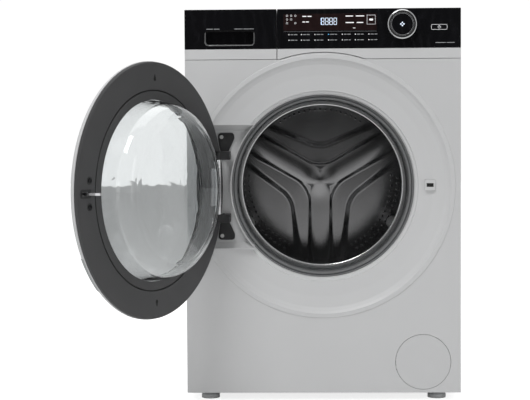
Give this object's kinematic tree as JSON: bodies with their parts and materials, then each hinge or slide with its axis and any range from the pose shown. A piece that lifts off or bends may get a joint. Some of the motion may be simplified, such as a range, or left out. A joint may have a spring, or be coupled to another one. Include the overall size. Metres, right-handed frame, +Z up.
{
  "type": "front load washing machine",
  "caption": "Front load washing machine with a round glass door, black control strip, detergent drawer, turning drum in a hung tub, drain filter and adjustable feet.",
  "frame": {"origin": "on the floor, at the centre of the four feet", "axes": "+X right as seen from the front, +Y to the back, +Z up"},
  "size_m": [0.7763, 1.0184, 0.85],
  "materials": {
    "white_steel": "smooth white powder coat",
    "white_plastic": "satin white moulding",
    "black_gloss": "glossy black",
    "black_plastic": "fine textured black",
    "dark_grey_plastic": "satin dark grey",
    "grey_plastic": "matt grey",
    "chrome_trim": "bright chrome",
    "drum_steel": "bright stainless sheet",
    "zinc_steel": "zinc plated",
    "spring_steel": "spring steel",
    "cast_alloy": "cast aluminium",
    "motor_iron": "lacquered",
    "weight_iron": "rough cast",
    "gasket_rubber": "soft grey rubber",
    "hose_rubber": "black rubber",
    "clear_glass": "clear pressed glass",
    "clear_cover": "clear window",
    "board_green": "circuit board"
  },
  "bodies": {
    "cabinet": {"side_panels": "white_steel", "rear_panel": "zinc_steel", "rear_cover": "zinc_steel", "front_panel": "white_steel", "door_surround": "white_plastic", "worktop": "white_plastic", "base_pan": "grey_plastic", "suspension_crossbar": "zinc_steel", "control_fascia": "white_plastic", "control_lens": "black_gloss", "control_board": "board_green", "dispenser_housing": "grey_plastic", "inlet_valve": "grey_plastic", "drain_outlet": "grey_plastic", "cable_gland": "black_plastic", "cabinet_screws": "zinc_steel", "door_lock": "white_plastic", "hinge_brackets": "black_plastic", "hinge_pins": "chrome_trim", "door_gasket": "gasket_rubber", "damper_cylinders": "black_plastic", "suspension_springs": "spring_steel", "filter_frame": "grey_plastic", "drain_pump": "grey_plastic", "sump_hose": "hose_rubber", "foot_lock_nuts": "zinc_steel"},
    "drawer": {"drawer_front": "white_plastic", "drawer_lens": "black_gloss", "drawer_handle_trim": "chrome_trim", "drawer_tray": "white_plastic", "siphon_cap": "grey_plastic"},
    "programme_knob": {"knob_ring": "chrome_trim"},
    "start_button": {"start_button": "black_gloss"},
    "power_button": {"power_button": "black_gloss"},
    "filter_flap": {"filter_flap": "white_plastic"},
    "drain_filter": {"pump_filter": "grey_plastic"},
    "impeller": {"pump_impeller": "black_plastic"},
    "foot_front_left": {"foot_front_left": "black_plastic"},
    "foot_rear_left": {"foot_rear_left": "black_plastic"},
    "foot_front_right": {"foot_front_right": "black_plastic"},
    "foot_rear_right": {"foot_rear_right": "black_plastic"},
    "door": {"door_inner_ring": "dark_grey_plastic", "door_outer_ring": "white_plastic", "door_cover": "clear_cover", "door_glass": "clear_glass", "door_hinge_leaf": "zinc_steel"},
    "door_hook": {"door_hook": "zinc_steel"},
    "tub": {"tub_front": "grey_plastic", "tub_rear": "grey_plastic", "counterweights": "weight_iron", "heater": "zinc_steel", "damper_rods": "zinc_steel", "drum_bearings": "zinc_steel", "stator": "motor_iron"},
    "drum": {"drum_shell": "drum_steel", "drum_front_ring": "drum_steel", "drum_back": "drum_steel", "drum_lifters": "white_plastic", "drum_spider": "cast_alloy", "rotor": "motor_iron"}
  },
  "joints": [
    {"name": "door_hinge", "type": "hinge", "parent": "cabinet", "child": "door", "pos_m": [-0.2255, -0.291, 0.4675], "axis": [0, 0, 1], "range_deg": [0, 118.5]},
    {"name": "door_hook_pivot", "type": "hinge", "parent": "door", "child": "door_hook", "pos_m": [-0.4583, -0.68519, 0.469], "axis": [0, 0, 1], "range_deg": [-5, 5], "stiffness_Nm_per_rad": 0.4},
    {"name": "drawer_slide", "type": "slide", "parent": "cabinet", "child": "drawer", "axis": [0, -1, 0], "range_m": [0, 0.23]},
    {"name": "knob_turn", "type": "hinge", "parent": "cabinet", "child": "programme_knob", "pos_m": [0.171, -0.28, 0.815], "axis": [0, 1, 0], "continuous": true},
    {"name": "start_press", "type": "slide", "parent": "cabinet", "child": "start_button", "axis": [0, 1, 0], "range_m": [0, 0.0015], "stiffness_N_per_m": 900, "springref_m": -0.0012},
    {"name": "power_press", "type": "slide", "parent": "cabinet", "child": "power_button", "axis": [0, 1, 0], "range_m": [0, 0.001], "stiffness_N_per_m": 900, "springref_m": -0.0012},
    {"name": "filter_flap_hinge", "type": "hinge", "parent": "cabinet", "child": "filter_flap", "pos_m": [0.1485, -0.276, 0.085], "axis": [0, 0, -1], "range_deg": [0, 90]},
    {"name": "filter_turn", "type": "hinge", "parent": "cabinet", "child": "drain_filter", "pos_m": [0.216, -0.25, 0.085], "axis": [0, 1, 0], "range_deg": [0, 90]},
    {"name": "impeller_spin", "type": "hinge", "parent": "cabinet", "child": "impeller", "pos_m": [0.216, -0.18, 0.085], "axis": [0, 1, 0], "continuous": true},
    {"name": "tub_bounce", "type": "slide", "parent": "cabinet", "child": "tub", "axis": [0, 0, 1], "range_m": [-0.008, 0.008], "stiffness_N_per_m": 52000, "deforming": ["suspension_springs", "sump_hose", "door_gasket"]},
    {"name": "drum_spin", "type": "hinge", "parent": "tub", "child": "drum", "pos_m": [0, 0, 0.4675], "axis": [0, 1, 0], "continuous": true},
    {"name": "foot_front_left_adjust", "type": "slide", "parent": "cabinet", "child": "foot_front_left", "axis": [0, 0, -1], "range_m": [0, 0.012]},
    {"name": "foot_rear_left_adjust", "type": "slide", "parent": "cabinet", "child": "foot_rear_left", "axis": [0, 0, -1], "range_m": [0, 0.012]},
    {"name": "foot_front_right_adjust", "type": "slide", "parent": "cabinet", "child": "foot_front_right", "axis": [0, 0, -1], "range_m": [0, 0.012]},
    {"name": "foot_rear_right_adjust", "type": "slide", "parent": "cabinet", "child": "foot_rear_right", "axis": [0, 0, -1], "range_m": [0, 0.012]}
  ]
}
